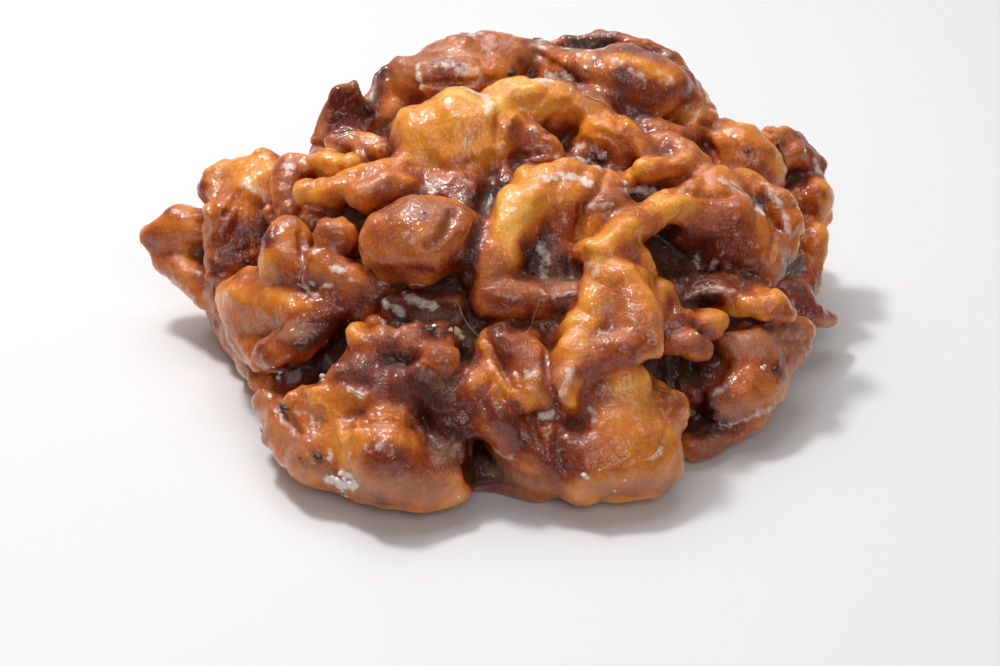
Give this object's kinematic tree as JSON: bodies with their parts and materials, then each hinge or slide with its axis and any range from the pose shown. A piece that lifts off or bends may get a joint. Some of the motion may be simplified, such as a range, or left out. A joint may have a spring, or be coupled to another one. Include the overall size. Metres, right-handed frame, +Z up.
{
  "type": "blueberry fritter",
  "caption": "Large craggy fried dough fritter with a glossy sugar glaze, knobbly lumps and deep creases on a flat underside.",
  "frame": {"origin": "on the flat underside that the fritter rests on, near its middle; the bounding box's own centre lies about 7 mm to -Y of it", "axes": "+Z up from the resting face; +X to the right and -Y towards the viewer in the picture"},
  "size_m": [0.1618, 0.1471, 0.0644],
  "materials": {
    "fried_crust": null,
    "sugar_glaze": "set sugar glaze, whitish in thick places, clear and glossy in thin ones",
    "blueberry": "cooked blueberry skins, blue-black, wet"
  },
  "bodies": {
    "root": {"fritter": "fried_crust"}
  },
  "joints": []
}
